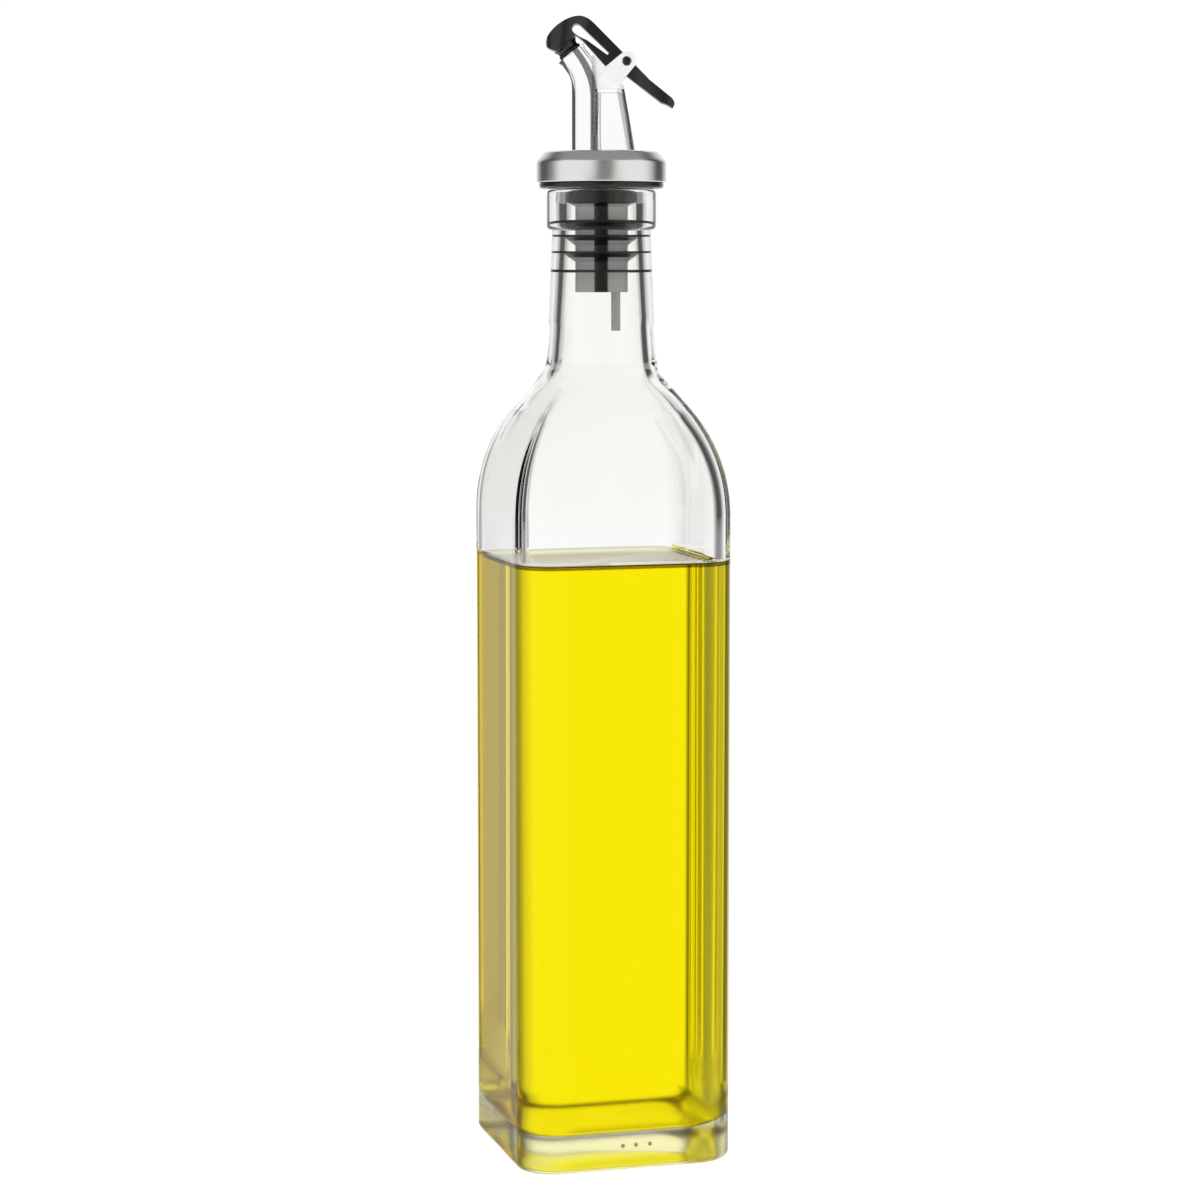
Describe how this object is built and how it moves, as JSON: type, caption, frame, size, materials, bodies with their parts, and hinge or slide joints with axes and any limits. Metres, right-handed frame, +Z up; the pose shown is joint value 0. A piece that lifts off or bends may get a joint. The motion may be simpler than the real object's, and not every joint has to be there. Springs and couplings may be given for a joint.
{
  "type": "oil dispenser bottle",
  "caption": "Square clear glass bottle of cooking oil with a press-in pourer: steel collar, clear bent spout and a thumb-lever flap over its mouth.",
  "frame": {"origin": "centre of the bottle's base, on the surface it stands on", "axes": "+Z up the bottle, X and Y square to its four flat faces; the pourer is turned 16 degrees in the neck, so that its spout points towards -X and a little +Y"},
  "size_m": [0.06, 0.06, 0.3105],
  "materials": {
    "glass": "clear, polished, faintly wavy at the corners",
    "oil": "clear yellow olive oil",
    "grey_plastic": "smoky grey soft plastic, satin",
    "black_plastic": "black moulded plastic, fine grain",
    "clear_plastic": "clear moulded plastic",
    "steel": "brushed round the band",
    "rubber": "black rubber, smooth"
  },
  "bodies": {
    "bottle": {"bottle": "glass", "oil": "oil", "stopper": "grey_plastic", "breather_tube": "grey_plastic", "flange": "black_plastic", "collar_band": "steel", "spout": "clear_plastic", "pivot_pin": "black_plastic"},
    "flap": {"flap": "black_plastic", "flap_seal": "rubber"}
  },
  "joints": [
    {"name": "flap_hinge", "type": "hinge", "parent": "bottle", "child": "flap", "pos_m": [0.00657, -0.00188, 0.2984], "axis": [0.2756, 0.9613, 0], "range_deg": [0, 28], "stiffness_Nm_per_rad": 0.008, "springref_deg": -34.38}
  ]
}
